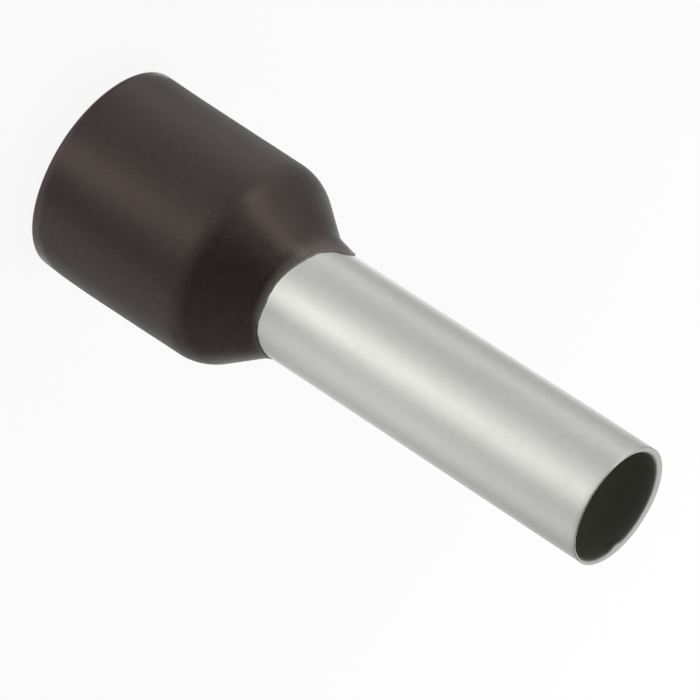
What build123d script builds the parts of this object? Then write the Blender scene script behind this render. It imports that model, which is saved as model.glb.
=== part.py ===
from build123d import *
from math import radians, sin, cos, tan
import os

# An insulated wire ferrule: a thin metal sleeve that is crimped over a wire's bared strands,
# with a moulded collar around its wire end that takes in the wire's insulation.
# It stands on the collar's mouth: the origin is the centre of that rim, and +Z runs along
# the axis to the sleeve's tip. Lengths are in millimetres and angles in degrees.

# The whole part, and the rounding of a corner that has none
total_length = 20.0
sharp = 0

# Insulating collar
collar_length = 8.0
collar_radius = 3.33
collar_wall = 0.33
mouth_flare = 0.015
mouth_outer_rounding = 0.15
mouth_inner_rounding = 0.08
cone_half_angle = 35.5
shoulder_bend = 1.8
lip_length = 0.16
lip_root_wall = 0.06
lip_edge_wall = 0.03
neck_fillet = 0.25

# Crimp sleeve
sleeve_radius = 1.95
sleeve_wall = 0.2
throat_bend = 0.4
flare_setback = 0.25
tip_outer_rounding = 0.05
tip_inner_rounding = 0.08
flare_edge_rounding = 0.05

# Directions in a profile, where X is the radius: down the cone's slope, away from the axis,
# and square to the slope, out through the wall
slope_angle = radians(cone_half_angle)
slope = Vector(sin(slope_angle), -cos(slope_angle))
outward = Vector(cos(slope_angle), sin(slope_angle))

# A bend where the wall turns by the slope's angle ends this share of its radius from its corner
bend_reach = tan(slope_angle / 2)

# Corners of the collar's outside
lip_root_radius = sleeve_radius + lip_root_wall
neck_corner = Vector(lip_root_radius, collar_length - lip_length)
cone_length = (collar_radius - lip_root_radius) / sin(slope_angle)
shoulder_corner = neck_corner + slope * cone_length

# Corners of its inside, which lies one wall further in
entry_radius = collar_radius - collar_wall
inner_shoulder_corner = Vector(entry_radius, shoulder_corner.Y - collar_wall * bend_reach)
inner_shoulder_bend = shoulder_bend - collar_wall
inner_cone_length = (entry_radius - sleeve_radius) / sin(slope_angle)
throat_corner = inner_shoulder_corner - slope * inner_cone_length

# The sleeve's wire end is flared against the collar's inner cone, short of the shoulder's bend
bore_radius = sleeve_radius - sleeve_wall
flare_length = inner_cone_length - inner_shoulder_bend * bend_reach - flare_setback
flare_edge = throat_corner + slope * flare_length
inner_throat_corner = Vector(bore_radius, throat_corner.Y - sleeve_wall * bend_reach)
inner_flare_edge = flare_edge - outward * sleeve_wall

# Moulded collar: a round mouth, a rounded shoulder, a cone and a lip that thins out on the sleeve
with BuildPart() as insulating_collar:
    with BuildSketch(Plane.XZ) as collar_section:
        with BuildLine():
            FilletPolyline(
                (collar_radius + mouth_flare, 0),
                shoulder_corner,
                neck_corner,
                (sleeve_radius + lip_edge_wall, collar_length),
                (sleeve_radius, collar_length),
                throat_corner,
                inner_shoulder_corner,
                (entry_radius, 0),
                radius=[
                    mouth_outer_rounding,
                    shoulder_bend,
                    neck_fillet,
                    sharp,
                    sharp,
                    throat_bend,
                    inner_shoulder_bend,
                    mouth_inner_rounding,
                ],
                close=True,
            )
        make_face()
    revolve(axis=Axis.Z)

# Drawn sleeve: a straight open tube, with its wire end flared to lead the strands in
with BuildPart() as crimp_sleeve:
    with BuildSketch(Plane.XZ) as sleeve_section:
        with BuildLine():
            FilletPolyline(
                (sleeve_radius, total_length),
                throat_corner,
                flare_edge,
                inner_flare_edge,
                inner_throat_corner,
                (bore_radius, total_length),
                radius=[
                    tip_outer_rounding,
                    throat_bend,
                    flare_edge_rounding,
                    flare_edge_rounding,
                    throat_bend + sleeve_wall,
                    tip_inner_rounding,
                ],
                close=True,
            )
        make_face()
    revolve(axis=Axis.Z)

os.makedirs("parts", exist_ok=True)
insulating_collar.part.label = "insulating_collar"
export_step(insulating_collar.part, "parts/insulating_collar.step")
crimp_sleeve.part.label = "crimp_sleeve"
export_step(crimp_sleeve.part, "parts/crimp_sleeve.step")
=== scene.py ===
import math

import bmesh
import bpy
from mathutils import Matrix, Vector


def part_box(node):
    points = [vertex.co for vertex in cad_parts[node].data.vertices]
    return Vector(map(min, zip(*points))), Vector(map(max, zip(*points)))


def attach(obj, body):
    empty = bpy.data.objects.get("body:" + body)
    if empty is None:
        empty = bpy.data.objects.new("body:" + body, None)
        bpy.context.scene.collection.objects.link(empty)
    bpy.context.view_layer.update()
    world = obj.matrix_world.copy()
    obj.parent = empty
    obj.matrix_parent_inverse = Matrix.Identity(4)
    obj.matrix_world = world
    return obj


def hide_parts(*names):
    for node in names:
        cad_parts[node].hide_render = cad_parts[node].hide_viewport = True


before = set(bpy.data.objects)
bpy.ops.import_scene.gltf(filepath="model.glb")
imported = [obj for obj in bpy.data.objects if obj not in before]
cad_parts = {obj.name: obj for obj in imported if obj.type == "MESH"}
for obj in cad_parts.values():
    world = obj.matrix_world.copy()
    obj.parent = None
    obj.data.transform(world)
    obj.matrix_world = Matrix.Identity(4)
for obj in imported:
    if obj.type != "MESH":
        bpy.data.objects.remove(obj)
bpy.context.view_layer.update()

bl_info = {
    "name": "Insulated Wire Ferrule",
    "version": (1, 0, 0),
    "blender": (4, 5, 0),
    "location": "View3D > Sidebar > Ferrule",
    "description": "Builds a crimp ferrule: a drawn tin plated sleeve held in a moulded plastic collar",
    "category": "Object",
}

# Lengths are written in millimetres and turned into Blender's metres
MM = 0.001
FULL_TURN = math.tau
WHITE = (1.0, 1.0, 1.0, 1.0)
BODY = "root"
COLLAR_NODE = "insulating_collar"
SLEEVE_NODE = "crimp_sleeve"

# How fine the skins are: steps once round the axis, the longest step along a section, an arc's
# largest turn per piece and fewest pieces, and how near to each other points are joined
COLLAR_TURN_STEPS = 384
SLEEVE_TURN_STEPS = 360
COLLAR_STEP = 0.12 * MM
SLEEVE_STEP = 0.16 * MM
ARC_STEP = math.radians(9)
ARC_PIECES = 3
JOIN_DISTANCE = 0.00002 * MM

# Each seed picks the clouds of one piece's shape
COLLAR_SEED = 4.0
SLEEVE_SEED = 7.0

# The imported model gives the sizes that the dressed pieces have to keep
_, collar_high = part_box(COLLAR_NODE)
_, sleeve_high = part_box(SLEEVE_NODE)

# Height of the lip's edge on the sleeve, once round it: the share of the turn, starting on the
# +X side, and the share of the way from the lowest edge to the highest
LIP_EDGE = (
    (0.0, 0.17), (0.083, 0.15), (0.194, 0.14), (0.333, 0.18), (0.43, 0.32),
    (0.478, 0.56), (0.5, 0.78), (0.525, 0.84), (0.55, 0.79), (0.575, 0.59),
    (0.6, 0.46), (0.624, 0.37), (0.66, 0.3), (0.692, 0.2), (0.722, 0.13),
    (0.75, 0.09), (0.778, 0.07), (0.808, 0.08), (0.839, 0.06), (0.876, 0.05),
    (0.924, 0.1), (0.972, 0.16), (1.0, 0.17),
)


def length(name, text, millimetres):
    """A length that the user can change."""
    return bpy.props.FloatProperty(
        name=name, description=text, default=millimetres * MM, min=0.0, precision=6, unit="LENGTH"
    )


def place(name, text, millimetres):
    """A place along one axis, on either side of its middle."""
    return bpy.props.FloatProperty(
        name=name, description=text, default=millimetres * MM, unit="LENGTH"
    )


def angle(name, text, degrees):
    """An angle that the user can change."""
    return bpy.props.FloatProperty(
        name=name, description=text, default=math.radians(degrees), subtype="ANGLE"
    )


def share(name, text, value):
    """A share between 0 and 1."""
    return bpy.props.FloatProperty(
        name=name, description=text, default=value, min=0.0, max=1.0, subtype="FACTOR"
    )


def number(name, text, value):
    """A plain number."""
    return bpy.props.FloatProperty(name=name, description=text, default=value, min=0.0)


def colour(name, text, value):
    """A colour, in linear light."""
    return bpy.props.FloatVectorProperty(
        name=name, description=text, default=value, size=3, min=0.0, max=1.0, subtype="COLOR"
    )


class CollarSettings(bpy.types.PropertyGroup):
    """Sizes and finish of the moulded collar"""

    height: length("Height", "From the mouth to the lip, where the lip is even", collar_high.z / MM)
    mouth_radius: length("Mouth radius", "Outside radius at the mouth", collar_high.x / MM)
    shoulder_radius: length("Shoulder radius", "Outside radius below the shoulder", 3.33)
    wall: length("Wall", "Thickness of the moulded wall", 0.33)
    cone_angle: angle("Cone angle", "Between the cone's side and the axis", 36.2)
    shoulder_bend: length("Shoulder bend", "Radius of the bend into the cone", 1.6)
    neck_radius: length("Neck radius", "Radius of the neck that holds the sleeve", 1.928)
    neck_bend: length("Neck bend", "Radius of the hollow bend between cone and lip", 0.16)
    lip_drop: length("Lip drop", "How far below the full height the cone ends in its lip", 0.19)
    lip_height: length("Lip height", "Height of the thin lip at the top of the cone", 0.06)
    lip_root: length("Lip root", "Thickness of the lip where it leaves the cone", 0.07)
    lip_edge: length("Lip edge", "Thickness of the lip at its edge", 0.062)
    mouth_outer: length("Outer mouth rounding", "Rounding of the mouth's outer edge", 0.1)
    mouth_inner: length("Inner mouth rounding", "Rounding of the mouth's inner edge", 0.08)
    throat_bend: length("Throat bend", "Radius of the bend from inner cone to neck", 0.4)
    low_edge: length("Lowest lip edge", "Where the uneven lip reaches least far up the sleeve", 7.7)
    high_edge: length("Highest lip edge", "Where the uneven lip reaches furthest up it", 8.7)
    lip_reach: length("Lip reach", "How far down the cone the uneven lip draws the surface", 0.32)
    mouth_dent: length("Mouth dent", "How far the worn side of the mouth is drawn in", 0.055)
    mouth_turn: angle("Mouth dent place", "Direction of that wear, from +X towards +Y", -32)
    mouth_lean: length("Mouth lean", "How far the mouth leans towards -X", 0.035)
    mouth_reach: length("Mouth reach", "How far up the collar the dent and the lean go", 2.4)
    collar_lean: length("Collar lean", "How far the outside sits off its bore, towards -X", 0.018)
    lip_fray: length("Lip fray", "Small unevenness along the lip's edge", 0.08)
    ripple: length("Ripple", "Depth of the soft waves that moulding leaves", 0.012)
    ripple_size: length("Ripple size", "Length of those waves", 2.2)
    plastic: colour("Plastic", "Colour of the plastic", (0.035, 0.0235, 0.023))
    sheen: colour("Sheen", "Colour of what the plastic mirrors", (1.0, 0.8, 0.74))
    roughness: share("Roughness", "Roughness of the plastic", 0.27)


class SleeveSettings(bpy.types.PropertyGroup):
    """Sizes and finish of the drawn metal sleeve"""

    tip: length("Tip", "Height of the open tip above the collar's mouth", sleeve_high.z / MM)
    radius: length("Radius", "Outside radius of the barrel", 1.95)
    wall: length("Wall", "Thickness of the metal", 0.2)
    throat_height: length("Throat height", "Where the barrel turns into the flare", 7.32)
    flare_radius: length("Flare radius", "Outside radius of the flare", sleeve_high.x / MM)
    flare_angle: angle("Flare angle", "Between the flare's side and the axis", 36.2)
    throat_bend: length("Throat bend", "Radius of the bend into the flare, outside", 0.4)
    tip_outer: length("Outer tip rounding", "Rounding of the tip's outer edge", 0.025)
    tip_inner: length("Inner tip rounding", "Rounding of the tip's inner edge", 0.11)
    flare_edge: length("Flare edge rounding", "Rounding of the flare's edge", 0.05)
    ovality: length("Ovality", "How far the barrel is from round", 0.012)
    taper: length("Taper", "How much narrower the barrel is at the collar than at its tip", 0.02)
    off_centre_x: length("Off centre, X", "How far the bore lies off centre, towards +X", 0.05)
    off_centre_y: length("Off centre, -Y", "How far the bore lies off centre, towards -Y", 0.12)
    bore_oval: length("Bore ovality", "How far the bore is from round", 0.01)
    ripple: length("Ripple", "Depth of the long soft waves that drawing leaves", 0.0025)
    ripple_size: length("Ripple size", "Width of those waves", 0.9)
    cut_wander: length("Cut wander", "Unevenness of the cut at the tip", 0.02)
    cut_slant: length("Cut slant", "How much higher the cut is on the +Y side", 0.04)
    burr: length("Burr", "How far a burr at the tip stands into the bore", 0.09)
    burr_turn: angle("Burr place", "Direction of the burr, from +X towards +Y", 56)
    metal: colour("Metal", "Colour of the tin plating", (0.70, 0.705, 0.668))
    # Painted shade: this dark colour stands in for the dim inside of the sleeve
    painted_bore_shade: colour("Bore", "Colour of the dull inside of the sleeve", (0.17, 0.175, 0.14))
    roughness: share("Roughness", "Roughness of the plating", 0.27)


class StageSettings(bpy.types.PropertyGroup):
    """Floor, lamp, cards, sky and camera"""

    floor_reach: length("Floor reach", "From the middle of the floor to its edge", 3000)
    floor: colour("Floor", "Colour of the floor", (0.86, 0.86, 0.86))
    floor_glow: share("Floor glow", "How white the floor is near the ferrule in any light", 0.9)
    near_white: length("White start", "Distance at which the floor starts to turn white", 12)
    far_white: length("White end", "Distance at which the floor is white", 60)
    camera_x: place("Camera X", "Sideways place of the camera", 0.458)
    camera_y: place("Camera Y", "Place of the camera along its view", -276.0506)
    camera_z: length("Camera height", "Height of the camera above the floor", 145.3599)
    elevation: angle("Elevation", "How far above level the camera looks from", 26.1148)
    roll: angle("Roll", "Turn of the camera about its line of sight", 123.16)
    lens: bpy.props.FloatProperty(
        name="Lens",
        description="Focal length of the camera",
        default=539.93,
        min=1.0,
        unit="CAMERA",
    )
    overhead: number("Overhead lamp", "Radiance of the lamp above the ferrule", 0.95)
    card_reach: length("Card reach", "From the middle of the stage to the round card", 600)
    card_bottom: length("Card bottom", "How far the round card reaches below the floor", 600)
    card_top: length("Card top", "How far the round card reaches above the floor", 720)
    sky: share("Sky", "Strength of the studio's light from above", 0.2)
    back_sky: share("Back sky", "Strength of the studio's light from above and behind", 0.85)


def wire(tree, node, inputs):
    """Wires a node's inputs to sockets, or sets them to values."""
    for key, value in inputs.items():
        socket = node.inputs[key]
        if isinstance(value, bpy.types.NodeSocket):
            tree.links.new(value, socket)
        else:
            socket.default_value = value


def new_node(tree, kind, inputs=None, **settings):
    """Adds a node, sets its options, and wires or sets its inputs."""
    node = tree.nodes.new(kind)
    for name, value in settings.items():
        setattr(node, name, value)
    wire(tree, node, inputs or {})
    return node


def maths(tree, operation, first, second=0.0, third=0.0):
    """The result of one sum on numbers."""
    values = {0: first, 1: second, 2: third}
    return new_node(tree, "ShaderNodeMath", values, operation=operation).outputs[0]


def product(tree, first, *others):
    """Numbers multiplied one after the other."""
    for other in others:
        first = maths(tree, "MULTIPLY", first, other)
    return first


def vector_maths(tree, operation, first, second=(0.0, 0.0, 0.0), result=0):
    """The result of one sum on vectors."""
    node = new_node(tree, "ShaderNodeVectorMath", {0: first, 1: second}, operation=operation)
    return node.outputs[result]


def distance_to(tree, vector):
    """The distance of a place from the middle of its object."""
    return vector_maths(tree, "LENGTH", vector, result="Value")


def scaled(tree, vector, factor):
    """A vector times a number."""
    inputs = {0: vector, "Scale": factor}
    return new_node(tree, "ShaderNodeVectorMath", inputs, operation="SCALE").outputs[0]


def components(tree, vector):
    """The X, Y and Z of a vector."""
    return new_node(tree, "ShaderNodeSeparateXYZ", {0: vector}).outputs


def vector_of(tree, **parts):
    """A vector with the given X, Y and Z. Those left out are 0."""
    return new_node(tree, "ShaderNodeCombineXYZ", parts).outputs["Vector"]


def ramp(tree, value, start, end, low=0.0, high=1.0):
    """A smooth step of a value from low at start to high at end."""
    return new_node(
        tree,
        "ShaderNodeMapRange",
        {"Value": value, "From Min": start, "From Max": end, "To Min": low, "To Max": high},
        interpolation_type="SMOOTHSTEP",
    ).outputs["Result"]


def bell(tree, value, width):
    """1 where the value is 0, falling to nothing on both sides."""
    part = maths(tree, "DIVIDE", value, width)
    return maths(tree, "EXPONENT", product(tree, part, part, -1.0))


def fineness(millimetres):
    """The scale of noise or cells of a size."""
    return 1 / (millimetres * MM)


def noise(tree, vector, scale, seed=0.0, detail=2.0, roughness=0.5):
    """Cloudy noise between 0 and 1. The seed picks another cloud."""
    return new_node(
        tree,
        "ShaderNodeTexNoise",
        {"Vector": vector, "W": seed, "Scale": scale, "Detail": detail, "Roughness": roughness},
        noise_dimensions="4D",
    ).outputs["Fac"]


def blended(tree, factor, first, second):
    """A colour between two."""
    colours = {0: factor, 6: first, 7: second}
    return new_node(tree, "ShaderNodeMix", colours, data_type="RGBA").outputs[2]


def between_numbers(tree, factor, first, second):
    """A number between two."""
    numbers = {0: factor, 2: first, 3: second}
    return new_node(tree, "ShaderNodeMix", numbers, data_type="FLOAT").outputs[0]


def rounded_section(corners, step):
    """Points of a closed section. Each corner is a radius, a height and its rounding."""
    points = []
    total = len(corners)
    for i, (x, y, rounding) in enumerate(corners):
        here = Vector((x, y))
        before = (here - Vector(corners[i - 1][:2])).normalized()
        after = (Vector(corners[(i + 1) % total][:2]) - here).normalized()
        turn = math.atan2(before.x * after.y - before.y * after.x, before.dot(after))
        reach = rounding * math.tan(abs(turn) / 2)
        start = here - before * reach
        side = Vector((-before.y, before.x)) * math.copysign(rounding, turn)
        centre = start + side
        by_turn = math.ceil(abs(turn) / ARC_STEP)
        by_length = math.ceil(rounding * abs(turn) / step)
        pieces = max(ARC_PIECES, by_turn, by_length)
        arc = []
        for k in range(pieces + 1):
            spin = Matrix.Rotation(turn * k / pieces, 2)
            arc.append(centre - spin @ side)
        if points:
            points += between(points[-1], arc[0], step)
        points += arc
    return points + between(points[-1], points[0], step)


def between(start, end, step):
    """Evenly spaced points between two, without the two."""
    gap = (end - start).length
    pieces = max(1, math.ceil(gap / step))
    return [start.lerp(end, k / pieces) for k in range(1, pieces)]


def new_mesh(name, points, faces):
    """A mesh of points and faces."""
    mesh = bpy.data.meshes.new(name)
    mesh.from_pydata(points, [], faces)
    return mesh


def new_object(name, data):
    """An object in the scene."""
    item = bpy.data.objects.new(name, data)
    bpy.context.scene.collection.objects.link(item)
    return item


def section_mesh(name, points, marks):
    """A mesh of bare points in the XZ plane, with a named number on each."""
    mesh = new_mesh(name, [(p.x, 0.0, p.y) for p in points], [])
    for mark, values in marks.items():
        layer = mesh.attributes.new(mark, "FLOAT", "POINT")
        layer.data.foreach_set("value", values)
    return mesh


SOCKET_KINDS = {int: "NodeSocketInt", float: "NodeSocketFloat", tuple: "NodeSocketVector"}


def new_tree(name, values):
    """A Geometry Nodes tree with an input for each named value, and its input sockets by name."""
    tree = bpy.data.node_groups.new(name, "GeometryNodeTree")
    tree.interface.new_socket("Geometry", in_out="INPUT", socket_type="NodeSocketGeometry")
    for label, value in values.items():
        tree.interface.new_socket(label, in_out="INPUT", socket_type=SOCKET_KINDS[type(value)])
    tree.interface.new_socket("Geometry", in_out="OUTPUT", socket_type="NodeSocketGeometry")
    source = tree.nodes.new("NodeGroupInput")
    return tree, {socket.name: socket for socket in source.outputs if socket.name}


def mark_value(tree, mark):
    """The named number of each point, in a tree that shapes it."""
    return new_node(
        tree, "GeometryNodeInputNamedAttribute", {"Name": mark}, data_type="FLOAT"
    ).outputs["Attribute"]


def point_place(tree):
    """The place of each point."""
    return new_node(tree, "GeometryNodeInputPosition").outputs["Position"]


def sampled(tree, section, value, index, kind):
    """The value that the section's point of an index has."""
    inputs = {"Geometry": section, "Value": value, "Index": index}
    return new_node(tree, "GeometryNodeSampleIndex", inputs, data_type=kind).outputs["Value"]


def revolve(tree, section, steps, marks):
    """Turns the section's points once round Z into a closed skin that keeps their marks."""
    size = new_node(
        tree, "GeometryNodeAttributeDomainSize", {"Geometry": section}, component="MESH"
    )
    points = size.outputs["Point Count"]
    across = maths(tree, "ADD", points, 1.0)
    around = maths(tree, "ADD", steps, 1.0)
    skin = new_node(
        tree,
        "GeometryNodeMeshGrid",
        {"Size X": 1.0, "Size Y": 1.0, "Vertices X": across, "Vertices Y": around},
    ).outputs["Mesh"]
    index = new_node(tree, "GeometryNodeInputIndex").outputs["Index"]
    row = maths(tree, "FLOOR", maths(tree, "DIVIDE", maths(tree, "ADD", index, 0.5), around))
    step = maths(tree, "SUBTRACT", index, product(tree, row, around))
    source = maths(tree, "MODULO", row, points)
    turn = product(tree, maths(tree, "DIVIDE", step, steps), FULL_TURN)
    parts = components(tree, sampled(tree, section, point_place(tree), source, "FLOAT_VECTOR"))
    ring = vector_of(
        tree,
        X=product(tree, parts["X"], maths(tree, "COSINE", turn)),
        Y=product(tree, parts["X"], maths(tree, "SINE", turn)),
        Z=parts["Z"],
    )
    skin = new_node(
        tree, "GeometryNodeSetPosition", {"Geometry": skin, "Position": ring}
    ).outputs["Geometry"]
    for mark in marks:
        carried = sampled(tree, section, mark_value(tree, mark), source, "FLOAT")
        skin = new_node(
            tree,
            "GeometryNodeStoreNamedAttribute",
            {"Geometry": skin, "Name": mark, "Value": carried},
            data_type="FLOAT",
            domain="POINT",
        ).outputs["Geometry"]
    return new_node(
        tree, "GeometryNodeMergeByDistance", {"Geometry": skin, "Distance": JOIN_DISTANCE}
    ).outputs["Geometry"]


def moved(tree, skin, offset):
    """The skin with each point moved by an offset."""
    return new_node(
        tree, "GeometryNodeSetPosition", {"Geometry": skin, "Offset": offset}
    ).outputs["Geometry"]


def radial_direction(tree, position):
    """The direction of each point away from the axis."""
    flat = vector_maths(tree, "MULTIPLY", position, (1.0, 1.0, 0.0))
    return vector_maths(tree, "NORMALIZE", flat)


def outward_noise(tree, coordinates, inputs, weight):
    """An offset along the surface's normal that follows soft noise."""
    cloud = noise(
        tree, coordinates, maths(tree, "DIVIDE", 1.0, inputs["Ripple size"]), inputs["Seed"]
    )
    swing = product(tree, maths(tree, "SUBTRACT", cloud, 0.5), 2.0)
    amount = product(tree, swing, inputs["Ripple"], weight)
    normal = new_node(tree, "GeometryNodeInputNormal").outputs["Normal"]
    return scaled(tree, normal, amount)


def finish_tree(tree, skin, material):
    """Ends a tree: smooth faces and the piece's material."""
    smooth = new_node(tree, "GeometryNodeSetShadeSmooth", {"Geometry": skin}).outputs["Geometry"]
    painted = new_node(
        tree, "GeometryNodeSetMaterial", {"Geometry": smooth, "Material": material}
    ).outputs["Geometry"]
    new_node(tree, "NodeGroupOutput", {"Geometry": painted})


# Size of the clouds that fray the lip, in millimetres, and their detail
FRAY_SIZE = 0.35
FRAY_DETAIL = 3.0
# The dent begins where a place faces it by this share, and is full where it faces it wholly
DENT_START = 0.35
# Height above the mouth at which the collar's waves start, and at which they are full
STILL_HEIGHT = 0.1 * MM
WAVE_HEIGHT = 1.0 * MM


def lip_height(tree, parts, inputs):
    """The height of the lip's edge in each direction round the axis."""
    # Both signs are turned, so that the share of the turn starts and ends on the +X side
    back = product(tree, parts["Y"], -1.0)
    aside = product(tree, parts["X"], -1.0)
    turned = maths(tree, "ARCTAN2", back, aside)
    part_of_turn = maths(tree, "ADD", maths(tree, "DIVIDE", turned, FULL_TURN), 0.5)
    profile = new_node(tree, "ShaderNodeFloatCurve", {"Value": part_of_turn})
    curve = profile.mapping.curves[0]
    curve.points[0].location = LIP_EDGE[0]
    curve.points[1].location = LIP_EDGE[-1]
    for point in LIP_EDGE[1:-1]:
        curve.points.new(*point)
    profile.mapping.update()
    spread = maths(tree, "SUBTRACT", inputs["Highest edge"], inputs["Lowest edge"])
    return maths(
        tree, "MULTIPLY_ADD", profile.outputs["Value"], spread, inputs["Lowest edge"]
    )


def collar_tree(values, marks, plastic):
    """The rule of the collar's shape: a turned section, soft waves and an uneven lip."""
    tree, inputs = new_tree("Moulded collar", values)
    skin = revolve(tree, inputs["Geometry"], inputs["Turn steps"], marks)
    position = point_place(tree)
    parts = components(tree, position)
    lip = mark_value(tree, "lip")
    mouth = mark_value(tree, "mouth")
    outside = mark_value(tree, "outside")

    # The lip's edge
    rise = maths(tree, "SUBTRACT", lip_height(tree, parts, inputs), inputs["Even edge"])
    fray = noise(tree, position, fineness(FRAY_SIZE), inputs["Seed"], detail=FRAY_DETAIL)
    fray = product(tree, maths(tree, "SUBTRACT", fray, 0.5), inputs["Fray"])
    lift = product(tree, maths(tree, "ADD", rise, fray), lip)
    skin = moved(tree, skin, vector_of(tree, Z=lift))

    # The dent of the mouth
    ahead = maths(tree, "COSINE", inputs["Mouth dent place"])
    beside = maths(tree, "SINE", inputs["Mouth dent place"])
    radial = radial_direction(tree, position)
    facing = vector_of(tree, X=ahead, Y=beside)
    towards = vector_maths(tree, "DOT_PRODUCT", radial, facing, result="Value")
    dent = product(tree, ramp(tree, towards, DENT_START, 1.0), inputs["Mouth dent"], mouth)
    skin = moved(tree, skin, scaled(tree, radial, product(tree, dent, -1.0)))

    # The lean of the mouth and of the whole outside below the lip
    below_lip = maths(tree, "MAXIMUM", maths(tree, "SUBTRACT", outside, lip), 0.0)
    mouth_lean = product(tree, inputs["Mouth lean"], mouth)
    collar_lean = product(tree, inputs["Collar lean"], below_lip)
    lean = maths(tree, "ADD", mouth_lean, collar_lean)
    skin = moved(tree, skin, vector_of(tree, X=product(tree, lean, -1.0)))

    # The waves die out at the mouth, so that its rim stays flat
    above = ramp(tree, parts["Z"], STILL_HEIGHT, WAVE_HEIGHT)
    skin = moved(tree, skin, outward_noise(tree, position, inputs, product(tree, outside, above)))
    finish_tree(tree, skin, plastic)
    return tree


# Heights between which the barrel widens from the collar to the tip
BARREL_START = 8.5 * MM
BARREL_END = 20 * MM
# Half the burr's width, as an angle round the axis
BURR_WIDTH = math.radians(7)
# Size of the clouds that the cut follows, in millimetres, their detail and their middle
WANDER_SIZE = 1.1
WANDER_DETAIL = 3.0
WANDER_MIDDLE = 0.55
# The barrel's waves are stretched along the axis
DRAWN_WAVES = (1.0, 1.0, 0.12)


def sleeve_tree(values, marks, metal):
    """The rule of the sleeve's shape: a turned section, long waves, an uneven cut and a burr."""
    tree, inputs = new_tree("Drawn sleeve", values)
    skin = revolve(tree, inputs["Geometry"], inputs["Turn steps"], marks)
    position = point_place(tree)
    parts = components(tree, position)
    radial = radial_direction(tree, position)
    turned = maths(tree, "ARCTAN2", parts["Y"], parts["X"])
    barrel = ramp(tree, parts["Z"], BARREL_START, BARREL_END)
    inside = mark_value(tree, "inside")

    # Out of round, narrower at the collar, and drawn in at the burr
    bore_oval = product(tree, inside, inputs["Bore ovality"])
    depth = maths(tree, "ADD", inputs["Ovality"], bore_oval)
    oval = product(tree, maths(tree, "COSINE", product(tree, turned, 2.0)), depth, barrel)
    narrow = product(tree, maths(tree, "SUBTRACT", 1.0, barrel), inputs["Taper"])
    outward = maths(tree, "SUBTRACT", oval, narrow)
    bump = bell(tree, maths(tree, "SUBTRACT", turned, inputs["Burr place"]), BURR_WIDTH)
    burr = product(tree, bump, inputs["Burr"], mark_value(tree, "burr"))
    skin = moved(tree, skin, scaled(tree, radial, maths(tree, "SUBTRACT", outward, burr)))

    # The bore off the barrel's centre
    aside = scaled(tree, inputs["Off centre"], product(tree, inside, barrel))
    skin = moved(tree, skin, aside)

    # The uneven cut
    flat = vector_maths(tree, "MULTIPLY", position, (1.0, 1.0, 0.0))
    wander = noise(tree, flat, fineness(WANDER_SIZE), inputs["Seed"], detail=WANDER_DETAIL)
    wander = product(tree, maths(tree, "SUBTRACT", wander, WANDER_MIDDLE), inputs["Cut wander"])
    across = maths(tree, "ADD", maths(tree, "DIVIDE", parts["Y"], inputs["Radius"]), 1.0)
    slant = product(tree, across, 0.5, inputs["Cut slant"])
    uneven = product(tree, maths(tree, "ADD", wander, slant), mark_value(tree, "rim"))
    skin = moved(tree, skin, vector_of(tree, Z=uneven))

    drawn = vector_maths(tree, "MULTIPLY", position, DRAWN_WAVES)
    waves = outward_noise(tree, drawn, inputs, mark_value(tree, "outside"))
    finish_tree(tree, moved(tree, skin, waves), metal)
    return tree


def grow(name, section, tree, values):
    """Makes an object from a section and a tree, and leaves it with a plain closed mesh."""
    piece = new_object(name, section)
    modifier = piece.modifiers.new("Shape", "NODES")
    modifier.node_group = tree
    sockets = {
        item.name: item.identifier
        for item in tree.interface.items_tree
        if item.item_type == "SOCKET" and item.in_out == "INPUT"
    }
    for label, value in values.items():
        modifier[sockets[label]] = value
    piece.update_tag()
    bpy.context.view_layer.update()
    depsgraph = bpy.context.evaluated_depsgraph_get()
    mesh = bpy.data.meshes.new_from_object(
        piece.evaluated_get(depsgraph), preserve_all_data_layers=True, depsgraph=depsgraph
    )
    piece.modifiers.remove(modifier)
    piece.data = mesh
    mesh.name = name
    bpy.data.meshes.remove(section)
    face_outward(mesh)
    return piece


def face_outward(mesh):
    """Turns a closed skin's faces outward. Raises an error if the skin is open."""
    shell = bmesh.new()
    shell.from_mesh(mesh)
    if not shell.faces or any(len(edge.link_faces) != 2 for edge in shell.edges):
        raise RuntimeError(f"{mesh.name} isn't a closed skin")
    if shell.calc_volume(signed=True) < 0:
        bmesh.ops.reverse_faces(shell, faces=shell.faces[:])
        shell.to_mesh(mesh)
    shell.free()


def new_material(name, base, roughness, metallic=0.0):
    """A material with its shader, its tree and its Object coordinates."""
    material = bpy.data.materials.new(name)
    material.use_nodes = True
    tree = material.node_tree
    shader = tree.nodes["Principled BSDF"]
    shader.inputs["Base Color"].default_value = (*base, 1.0)
    shader.inputs["Roughness"].default_value = roughness
    shader.inputs["Metallic"].default_value = metallic
    return material, tree, shader, object_place(tree)


def object_place(tree):
    """The place on the object that a material is asked about."""
    return new_node(tree, "ShaderNodeTexCoord").outputs["Object"]


def surface_mark(tree, mark):
    """The named number of each place, in a material."""
    return new_node(tree, "ShaderNodeAttribute", attribute_name=mark).outputs["Fac"]


def tinted(base, factor):
    """A lighter or darker colour, with its alpha."""
    return (*(min(1.0, channel * factor) for channel in base), 1.0)


def cells(tree, vector, spacing, core, rim, depth):
    """A round speck in each cell: depth in its core, fading to nothing at its rim."""
    pattern = new_node(
        tree, "ShaderNodeTexVoronoi", {"Vector": vector, "Scale": fineness(spacing)}
    )
    return ramp(tree, pattern.outputs["Distance"], core, rim, depth, 0.0)


def bumped(tree, height, strength, depth):
    """Normals that follow a height."""
    inputs = {"Height": height, "Strength": strength, "Distance": depth * MM}
    return new_node(tree, "ShaderNodeBump", inputs).outputs["Normal"]


# The two values of a noise that most ramps run between
NOISE_RANGE = (0.3, 0.7)

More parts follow.
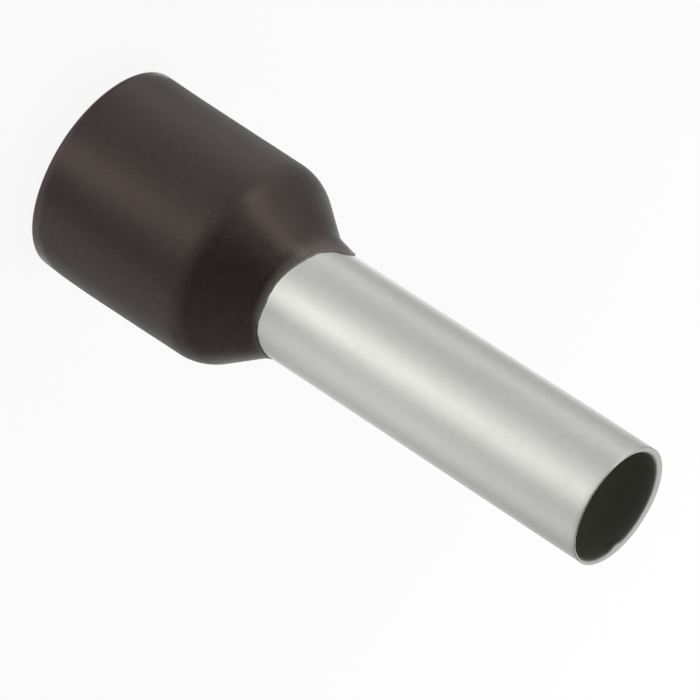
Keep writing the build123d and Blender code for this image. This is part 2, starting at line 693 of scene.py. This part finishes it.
# The plastic's texture. Sizes, spacings and depths are in millimetres, and the sizes of specks
# are shares of their spacing.
PLASTIC_CLOUDS = {"scale": fineness(1.6), "seed": 3.0, "detail": 4.0, "roughness": 0.6}
PLASTIC_MOTTLE = {"scale": fineness(0.2), "seed": 5.0, "detail": 3.0, "roughness": 0.65}
PLASTIC_GRAIN = {"scale": fineness(0.09), "seed": 8.0, "detail": 2.0, "roughness": 0.6}
PLASTIC_SPECULAR = 0.7
CLOUD_RANGE = (0.35, 0.65)
CLOUD_TINTS = (0.88, 1.12)
MOTTLE_TINT = 0.55
PIT_TINT = 0.35
PITS = {"spacing": 1.9, "core": 0.028, "rim": 0.05, "depth": 1.0}
DUST = {"spacing": 2.3, "core": 0.012, "rim": 0.03, "depth": 0.5}
DUST_SHIFT = (0.31, 0.17, 0.23)
DUST_COLOUR = (0.11, 0.10, 0.098, 1.0)
PLASTIC_BUMP = {"strength": 0.8, "depth": 0.008}
GRAIN_WEIGHT = 1.1
MOTTLE_WEIGHT = 0.6
PIT_WEIGHT = 2.0
PLASTIC_SMOOTHER = 0.03
PLASTIC_ROUGHER = 0.04
# The lip is painted paler, a painted reflection, and its end face palest, a painted highlight. Towards
# +X the painted paleness falls, from one place on X to the other, to a share.
LIP_SHEEN_RANGE = (0.1, 1.0)
LIP_SHEEN_COLOUR = (0.13, 0.115, 0.11, 1.0)
LIP_END_HIGHLIGHT_COLOUR = (0.32, 0.3, 0.29, 1.0)
SHEEN_FULL_X = 1.05 * MM
SHEEN_WEAK_X = 1.45 * MM
SHEEN_WEAK_SHARE = 0.25


def plastic_material(settings):
    """Dark moulded plastic: satin, softly clouded, with fine grain, a few specks and a painted
    reflection on the lip.
    """
    base = tuple(settings.plastic)
    roughness = settings.roughness
    material, tree, shader, spot = new_material("Dark moulded plastic", base, roughness)
    clouds = noise(tree, spot, **PLASTIC_CLOUDS)
    mottle = noise(tree, spot, **PLASTIC_MOTTLE)
    grain = noise(tree, spot, **PLASTIC_GRAIN)
    pits = cells(tree, spot, **PITS)
    dust = cells(tree, vector_maths(tree, "ADD", spot, DUST_SHIFT), **DUST)
    dark, light = (tinted(base, tint) for tint in CLOUD_TINTS)
    tone = blended(tree, ramp(tree, clouds, *CLOUD_RANGE), dark, light)
    tone = blended(tree, ramp(tree, mottle, *NOISE_RANGE), tinted(base, MOTTLE_TINT), tone)
    # Painted reflection on the lip and painted highlight on its end face, weaker towards +X
    side = components(tree, spot)["X"]
    sheen_side = ramp(tree, side, SHEEN_FULL_X, SHEEN_WEAK_X, 1.0, SHEEN_WEAK_SHARE)
    lip = product(tree, ramp(tree, surface_mark(tree, "lip"), *LIP_SHEEN_RANGE), sheen_side)
    tone = blended(tree, lip, tone, LIP_SHEEN_COLOUR)
    lip_end_highlight = product(tree, surface_mark(tree, "edge"), sheen_side)
    tone = blended(tree, lip_end_highlight, tone, LIP_END_HIGHLIGHT_COLOUR)
    tone = blended(tree, pits, tone, tinted(base, PIT_TINT))
    tone = blended(tree, dust, tone, DUST_COLOUR)
    rise = product(tree, grain, GRAIN_WEIGHT)
    rise = maths(tree, "ADD", rise, product(tree, mottle, MOTTLE_WEIGHT))
    rise = maths(tree, "SUBTRACT", rise, product(tree, pits, PIT_WEIGHT))
    smooth, rough = roughness - PLASTIC_SMOOTHER, roughness + PLASTIC_ROUGHER
    looks = {
        "Specular IOR Level": PLASTIC_SPECULAR,
        "Specular Tint": (*settings.sheen, 1.0),
        "Base Color": tone,
        "Roughness": ramp(tree, clouds, *NOISE_RANGE, smooth, rough),
        "Normal": bumped(tree, rise, **PLASTIC_BUMP),
    }
    wire(tree, shader, looks)
    return material


# The metal's texture. Sizes and depths are in millimetres.
METAL_STREAKS = {"scale": fineness(0.45), "seed": 2.0, "detail": 2.0, "roughness": 0.45}
METAL_MOTTLE = {"scale": fineness(0.22), "seed": 6.0, "detail": 3.0, "roughness": 0.65}
DRAWN_STREAKS = (1.0, 1.0, 0.15)
STREAK_TINTS = (0.98, 1.02)
SPOT_RANGE = (0.35, 0.7)
SPOT_TINT = 0.965
METAL_SMOOTHER = 0.02
METAL_ROUGHER = 0.03
METAL_BUMP = {"strength": 0.4, "depth": 0.0035}
STREAK_WEIGHT = 0.8
SPOT_WEIGHT = 0.6
# The bore's dark colour is painted shade of the sleeve's dim inside. It is lighter deep inside than at
# the tip, where it offsets the light that comes in: heights of the two, and their tints
BORE_DEEP = 18.2 * MM
BORE_SHALLOW = 19.8 * MM
BORE_SHADE_TINTS = (1.7, 0.7)
BORE_ROUGHNESS = 0.75


def metal_material(settings):
    """Drawn tin plated copper: bright satin with long streaks outside, dull inside and darkened by
    painted shade.
    """
    base = tuple(settings.metal)
    roughness = settings.roughness
    material, tree, shader, spot = new_material("Satin tin plating", base, roughness, 1.0)
    drawn = vector_maths(tree, "MULTIPLY", spot, DRAWN_STREAKS)
    streaks = noise(tree, drawn, **METAL_STREAKS)
    mottle = noise(tree, spot, **METAL_MOTTLE)
    bore = surface_mark(tree, "bore")
    dark, light = (tinted(base, tint) for tint in STREAK_TINTS)
    tone = blended(tree, ramp(tree, streaks, *NOISE_RANGE), dark, light)
    tone = blended(tree, ramp(tree, mottle, *SPOT_RANGE), tone, tinted(base, SPOT_TINT))
    # Painted shade in the bore, lighter deep inside and darkest at the tip
    height = ramp(tree, components(tree, spot)["Z"], BORE_DEEP, BORE_SHALLOW)
    deep, shallow = (tinted(settings.painted_bore_shade, tint) for tint in BORE_SHADE_TINTS)
    tone = blended(tree, bore, tone, blended(tree, height, deep, shallow))
    smooth, rough = roughness - METAL_SMOOTHER, roughness + METAL_ROUGHER
    dull = ramp(tree, streaks, *NOISE_RANGE, smooth, rough)
    rise = product(tree, streaks, STREAK_WEIGHT)
    rise = maths(tree, "ADD", rise, product(tree, mottle, SPOT_WEIGHT))
    looks = {
        "Base Color": tone,
        "Roughness": maths(tree, "MAXIMUM", dull, product(tree, bore, BORE_ROUGHNESS)),
        "Metallic": maths(tree, "SUBTRACT", 1.0, bore),
        "Normal": bumped(tree, rise, **METAL_BUMP),
    }
    wire(tree, shader, looks)
    return material


def seat(piece, node):
    """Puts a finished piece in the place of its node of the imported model."""
    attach(piece, BODY)
    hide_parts(node)


def rising(value, width):
    """0 up to a value of 0, rising to 1 over a width."""
    return min(1.0, max(0.0, value / width))


# Rounding of the lip's two sharp corners, and the share of it that its end face takes in
LIP_SHARP = 0.012 * MM
LIP_END_SHARE = 0.4
# The neck's bore is left out of the collar's outside, by this much
NECK_GAP = 0.02 * MM


class FERRULE_OT_collar(bpy.types.Operator):
    """Mould the collar: round mouth, rounded shoulder, cone and a thin uneven lip"""

    bl_idname = "ferrule.collar"
    bl_label = "Insulating Collar"

    def execute(self, context):
        s = context.scene.ferrule_collar
        slope = Vector((math.sin(s.cone_angle), -math.cos(s.cone_angle)))
        across = Vector((-slope.y, slope.x))
        reach = math.tan(s.cone_angle / 2)
        lip_root = s.neck_radius + s.lip_root
        edge = s.height - s.lip_drop
        neck = Vector((lip_root, edge - s.lip_height))
        shoulder = neck + slope * ((s.shoulder_radius - lip_root) / slope.x)
        entry = s.shoulder_radius - s.wall
        inner_shoulder = Vector((entry, shoulder.y - s.wall * reach))
        throat = inner_shoulder - slope * ((entry - s.neck_radius) / slope.x)
        corners = (
            (s.mouth_radius, 0.0, s.mouth_outer),
            (*shoulder, s.shoulder_bend),
            (*neck, s.neck_bend),
            (s.neck_radius + s.lip_edge, edge, LIP_SHARP),
            (s.neck_radius, edge, LIP_SHARP),
            (*throat, s.throat_bend),
            (*inner_shoulder, s.shoulder_bend - s.wall),
            (entry, 0.0, s.mouth_inner),
        )

        def lip(p):
            part = rising(p.y - edge + s.lip_reach, s.lip_reach)
            return part * part * (3.0 - 2.0 * part)

        def outside(p):
            # Outside the middle of the wall, on the body or on the cone
            if p.x > entry + 0.5 * s.wall:
                return 1.0
            on_cone = p.y > inner_shoulder.y and p.x > s.neck_radius + NECK_GAP
            return 1.0 if on_cone and (p - neck).dot(across) > -0.5 * s.wall else 0.0

        points = rounded_section(corners, COLLAR_STEP)
        end_face = edge - LIP_END_SHARE * LIP_SHARP
        marks = {
            "lip": [lip(p) for p in points],
            "outside": [outside(p) for p in points],
            "mouth": [max(0.0, 1.0 - p.y / s.mouth_reach) ** 2 for p in points],
            "edge": [1.0 if p.y > end_face else 0.0 for p in points],
        }
        values = {
            "Turn steps": COLLAR_TURN_STEPS,
            "Even edge": edge,
            "Lowest edge": s.low_edge,
            "Highest edge": s.high_edge,
            "Fray": s.lip_fray,
            "Mouth dent": s.mouth_dent,
            "Mouth dent place": s.mouth_turn,
            "Mouth lean": s.mouth_lean,
            "Collar lean": s.collar_lean,
            "Ripple": s.ripple,
            "Ripple size": s.ripple_size,
            "Seed": COLLAR_SEED,
        }
        section = section_mesh("Collar section", points, marks)
        tree = collar_tree(values, marks, plastic_material(s))
        piece = grow("moulded_collar", section, tree, values)
        seat(piece, COLLAR_NODE)
        return {"FINISHED"}


# Where the uneven cut starts below the tip, and the height over which it comes in
RIM_DEPTH = 0.25 * MM
RIM_FADE = 0.2 * MM
# How far bright metal turns into the bore and down from the tip, and how soon it turns dull
BRIGHT_WALL = 0.098 * MM
BRIGHT_DEPTH = 0.012 * MM
DULL_FADE = 0.02 * MM
# The inner part of the wall, which moves with the bore: where it starts, and the width over which
# it comes in
INNER_START = 0.05 * MM
INNER_FADE = 0.1 * MM
# The outer skin, which has the waves, and the inner edge, which has the burr
OUTER_SKIN = 0.02 * MM
BURR_EDGE = 0.1 * MM


class FERRULE_OT_sleeve(bpy.types.Operator):
    """Draw the sleeve: straight barrel, rounded cut at the tip and flared wire end"""

    bl_idname = "ferrule.sleeve"
    bl_label = "Crimp Sleeve"

    def execute(self, context):
        s = context.scene.ferrule_sleeve
        slope = Vector((math.sin(s.flare_angle), -math.cos(s.flare_angle)))
        across = Vector((-slope.y, slope.x))
        reach = math.tan(s.flare_angle / 2)
        bore = s.radius - s.wall
        throat = Vector((s.radius, s.throat_height))
        flare = throat + slope * ((s.flare_radius - s.radius) / slope.x)
        inner_throat = Vector((bore, throat.y - s.wall * reach))
        inner_flare = flare - across * s.wall
        corners = (
            (s.radius, s.tip, s.tip_outer),
            (bore, s.tip, s.tip_inner),
            (*inner_throat, s.throat_bend + s.wall),
            (*inner_flare, s.flare_edge),
            (*flare, s.flare_edge),
            (*throat, s.throat_bend),
        )

        def rim(p):
            return rising(p.y - s.tip + RIM_DEPTH, RIM_FADE)

        def dull_bore(p):
            within = rising(bore + BRIGHT_WALL - p.x, DULL_FADE)
            return within * rising(s.tip - BRIGHT_DEPTH - p.y, DULL_FADE)

        points = rounded_section(corners, SLEEVE_STEP)
        marks = {
            "rim": [rim(p) for p in points],
            "bore": [dull_bore(p) for p in points],
            "inside": [rising(s.radius - INNER_START - p.x, INNER_FADE) for p in points],
            "outside": [1.0 if p.x > s.radius - OUTER_SKIN else 0.0 for p in points],
            "burr": [rim(p) if p.x < bore + BURR_EDGE else 0.0 for p in points],
        }
        values = {
            "Turn steps": SLEEVE_TURN_STEPS,
            "Ovality": s.ovality,
            "Taper": s.taper,
            "Off centre": (s.off_centre_x, -s.off_centre_y, 0.0),
            "Bore ovality": s.bore_oval,
            "Ripple": s.ripple,
            "Ripple size": s.ripple_size,
            "Cut wander": s.cut_wander,
            "Cut slant": s.cut_slant,
            "Radius": s.radius,
            "Burr": s.burr,
            "Burr place": s.burr_turn,
            "Seed": SLEEVE_SEED,
        }
        section = section_mesh("Sleeve section", points, marks)
        tree = sleeve_tree(values, marks, metal_material(s))
        piece = grow("drawn_sleeve", section, tree, values)
        seat(piece, SLEEVE_NODE)
        return {"FINISHED"}


FLOOR_ROUGHNESS = 0.7
FLOOR_SPECULAR = 0.1


def add_floor(settings):
    """A pale floor that keeps the ferrule's shadow and turns plain white further away."""
    size = settings.floor_reach
    corners = [(-size, -size, 0), (size, -size, 0), (size, size, 0), (-size, size, 0)]
    mesh = new_mesh("Floor", corners, [(0, 1, 2, 3)])
    floor = new_object("Floor", mesh)
    material, tree, shader, spot = new_material(
        "Pale floor", tuple(settings.floor), FLOOR_ROUGHNESS
    )
    shader.inputs["Specular IOR Level"].default_value = FLOOR_SPECULAR
    rays = new_node(tree, "ShaderNodeLightPath").outputs
    seen = maths(tree, "MAXIMUM", rays["Is Camera Ray"], rays["Is Glossy Ray"])
    seen = maths(tree, "MAXIMUM", seen, rays["Is Transmission Ray"])
    distance = distance_to(tree, spot)
    away = ramp(tree, distance, settings.near_white, settings.far_white, settings.floor_glow)
    glow = new_node(tree, "ShaderNodeEmission", {"Color": WHITE, "Strength": 1.0})
    shades = {0: product(tree, away, seen), 1: shader.outputs["BSDF"], 2: glow.outputs[0]}
    mixed = new_node(tree, "ShaderNodeMixShader", shades)
    tree.links.new(mixed.outputs[0], tree.nodes["Material Output"].inputs["Surface"])
    mesh.materials.append(material)
    # Mirrored rays pass the floor to the cards, as on a glass table
    floor.visible_glossy = False


# What the ferrule mirrors: a base radiance, and soft bright places on it, each with its direction
# in degrees from the -Y side, where + is towards +X, its half width in degrees and the radiance
# that it adds. The collar's side mirrors the ring on the floor. Of the round card, the barrel
# mirrors the low band, the shoulder the middle one and the cone the high one.
FLOOR_LIGHT = (0.37, ((6, 24, 0.84), (-92, 34, 0.44), (-42, 30, 0.25), (84, 32, 0.25)))
LOW_LIGHT = (
    0.54,
    (
        (15, 29, 1.0), (-20, 30, 0.27), (-87, 18, 0.22), (84, 36, 0.46),
        (180, 36, 0.4), (-158, 16, 0.35),
    ),
)
MIDDLE_LIGHT = (0.28, ((-86, 38, 0.58), (-8, 44, 0.36), (88, 28, 0.19), (180, 25, 0.35)))
HIGH_LIGHT = (
    0.15,
    (
        (-61, 12, 1.2), (-84, 36, 0.72), (-143, 18, 0.25), (-28, 16, 0.19),
        (92, 34, 0.1), (180, 20, 0.55),
    ),
)
CARD_STEPS = 72
# The ring on the floor: its two radii and how far it lies above the floor
RING_INNER = 3.5 * MM
RING_OUTER = 16 * MM
RING_LIFT = 0.1 * MM
# How fast the turn of what a round wall mirrors falls with distance
RING_TURN_POWER = 1.7
# Heights at which one band of the round card turns into the next, as shares of its radius
LOW_TO_MIDDLE = (-0.46, -0.36)
MIDDLE_TO_HIGH = (-0.12, 0.12)


def direction_of(tree, spot):
    """The direction of a card's place round the axis, from the -Y side, where + is towards +X."""
    parts = components(tree, spot)
    return maths(tree, "ARCTAN2", parts["X"], product(tree, parts["Y"], -1.0))


def soft_lights(tree, turned, lights):
    """The radiance of a card in each direction round the axis."""
    level, bright_places = lights
    for direction, half_width, radiance in bright_places:
        off = maths(tree, "SUBTRACT", turned, math.radians(direction))
        off = maths(tree, "WRAP", off, math.pi, -math.pi)
        fall = bell(tree, off, math.radians(half_width))
        level = maths(tree, "MULTIPLY_ADD", fall, radiance, level)
    return level


def ring_points(radius, height):
    """Points of a circle round the axis."""
    turns = [FULL_TURN * k / CARD_STEPS for k in range(CARD_STEPS)]
    return [(radius * math.cos(t), radius * math.sin(t), height) for t in turns]


def add_card(name, start, end, shine):
    """A glowing card between two circles that only mirrored rays see. shine gives its strength."""
    points = ring_points(*start) + ring_points(*end)
    steps = CARD_STEPS
    faces = [(k, (k + 1) % steps, steps + (k + 1) % steps, steps + k) for k in range(steps)]
    mesh = new_mesh(name, points, faces)
    card = new_object(name, mesh)
    material = bpy.data.materials.new(name)
    material.use_nodes = True
    tree = material.node_tree
    tree.nodes.remove(tree.nodes["Principled BSDF"])
    strength = shine(tree, object_place(tree))
    glow = new_node(tree, "ShaderNodeEmission", {"Strength": strength})
    tree.links.new(glow.outputs[0], tree.nodes["Material Output"].inputs["Surface"])
    mesh.materials.append(material)
    card.visible_camera = False
    card.visible_diffuse = False
    card.visible_shadow = False
    card.visible_transmission = False


def add_floor_card():
    """A ring on the floor close to the ferrule, which the collar's side mirrors."""

    def shine(tree, spot):
        # A round wall mirrors a place close to it in a direction further round than it lies
        near = maths(tree, "DIVIDE", collar_high.x, distance_to(tree, spot))
        further = maths(tree, "ADD", maths(tree, "POWER", near, RING_TURN_POWER), 1.0)
        turned = product(tree, direction_of(tree, spot), further)
        return soft_lights(tree, turned, FLOOR_LIGHT)

    add_card("Floor card", (RING_INNER, RING_LIFT), (RING_OUTER, RING_LIFT), shine)


def add_round_card(reach, bottom, top):
    """A wall round the stage, in three bands, that the barrel, shoulder and cone mirror."""

    def shine(tree, spot):
        height = components(tree, spot)["Z"]
        turned = direction_of(tree, spot)
        low, middle, high = (
            soft_lights(tree, turned, lights) for lights in (LOW_LIGHT, MIDDLE_LIGHT, HIGH_LIGHT)
        )
        first = ramp(tree, height, *(part * reach for part in LOW_TO_MIDDLE))
        second = ramp(tree, height, *(part * reach for part in MIDDLE_TO_HIGH))
        return between_numbers(tree, second, between_numbers(tree, first, low, middle), high)

    add_card("Round card", (reach, -bottom), (reach, top), shine)


# The lamp above the ferrule, in metres: its place, the point that it faces and its side
LAMP_PLACE = Vector((0.0, 0.07, 0.19))
LAMP_TARGET = Vector((0.0, 0.01, 0.0))
LAMP_SIDE = 0.28


def add_lamp(radiance):
    """A soft square lamp above the ferrule that neither the camera nor a mirrored ray sees."""
    lamp = bpy.data.lights.new("Overhead lamp", "AREA")
    lamp.size = LAMP_SIDE
    lamp.energy = radiance * math.pi * LAMP_SIDE * LAMP_SIDE
    holder = new_object("Overhead lamp", lamp)
    turn = (LAMP_TARGET - LAMP_PLACE).to_track_quat("-Z", "Y").to_matrix().to_4x4()
    holder.matrix_world = Matrix.Translation(LAMP_PLACE) @ turn
    holder.visible_camera = False
    holder.visible_glossy = False


# Parts of a direction between which the sky changes: towards the back, and above the horizon
BACK_SKY = (0.3, 0.8)
HIGH_SKY = (0.1, 0.3)


def add_world(settings):
    """White at the horizon and dim above it."""
    world = bpy.data.worlds.new("Studio")
    world.use_nodes = True
    tree = world.node_tree
    parts = components(tree, new_node(tree, "ShaderNodeTexCoord").outputs["Generated"])
    above = ramp(tree, parts["Y"], *BACK_SKY, settings.sky, settings.back_sky)
    strength = between_numbers(tree, ramp(tree, parts["Z"], *HIGH_SKY), 1.0, above)
    wire(tree, tree.nodes["Background"], {"Strength": strength, "Color": WHITE})
    bpy.context.scene.world = world


def add_camera(settings):
    """The camera at the photograph's viewing angle, rolled so that the ferrule lies down."""
    camera = bpy.data.cameras.new("Camera")
    camera.lens = settings.lens
    camera.sensor_width = 36.0
    camera.clip_start = 0.01
    camera.clip_end = 20.0
    holder = new_object("Camera", camera)
    back = Vector((0.0, -math.cos(settings.elevation), math.sin(settings.elevation)))
    level = Vector((1.0, 0.0, 0.0))
    upright = back.cross(level)
    right = level * math.cos(settings.roll) + upright * math.sin(settings.roll)
    up = back.cross(right)
    turn = Matrix((right, up, back)).transposed().to_4x4()
    spot = (settings.camera_x, settings.camera_y, settings.camera_z)
    holder.matrix_world = Matrix.Translation(spot) @ turn
    bpy.context.scene.camera = holder


class FERRULE_OT_stage(bpy.types.Operator):
    """Set the stage: floor, lamp, cards, sky, camera and plain colour handling"""

    bl_idname = "ferrule.stage"
    bl_label = "Stage"

    def execute(self, context):
        s = context.scene.ferrule_stage
        add_floor(s)
        add_lamp(s.overhead)
        add_floor_card()
        add_round_card(s.card_reach, s.card_bottom, s.card_top)
        add_world(s)
        add_camera(s)
        context.scene.view_settings.view_transform = "Standard"
        return {"FINISHED"}


class FERRULE_PT_panel(bpy.types.Panel):
    """Lists the ferrule's pieces and its stage"""

    bl_idname = "FERRULE_PT_panel"
    bl_label = "Wire Ferrule"
    bl_space_type = "VIEW_3D"
    bl_region_type = "UI"
    bl_category = "Ferrule"

    def draw(self, context):
        groups = (
            (FERRULE_OT_collar, context.scene.ferrule_collar),
            (FERRULE_OT_sleeve, context.scene.ferrule_sleeve),
            (FERRULE_OT_stage, context.scene.ferrule_stage),
        )
        for operator, settings in groups:
            box = self.layout.box()
            box.operator(operator.bl_idname)
            for name in settings.bl_rna.properties.keys():
                if name not in ("rna_type", "name"):
                    box.prop(settings, name)


CLASSES = (
    CollarSettings,
    SleeveSettings,
    StageSettings,
    FERRULE_OT_collar,
    FERRULE_OT_sleeve,
    FERRULE_OT_stage,
    FERRULE_PT_panel,
)


def register():
    for kind in CLASSES:
        bpy.utils.register_class(kind)
    bpy.types.Scene.ferrule_collar = bpy.props.PointerProperty(type=CollarSettings)
    bpy.types.Scene.ferrule_sleeve = bpy.props.PointerProperty(type=SleeveSettings)
    bpy.types.Scene.ferrule_stage = bpy.props.PointerProperty(type=StageSettings)


def unregister():
    del bpy.types.Scene.ferrule_stage
    del bpy.types.Scene.ferrule_sleeve
    del bpy.types.Scene.ferrule_collar
    for kind in reversed(CLASSES):
        bpy.utils.unregister_class(kind)


def main():
    """Builds the ferrule and its stage."""
    register()
    bpy.ops.ferrule.collar()
    bpy.ops.ferrule.sleeve()
    bpy.ops.ferrule.stage()


if __name__ == "__main__":
    main()
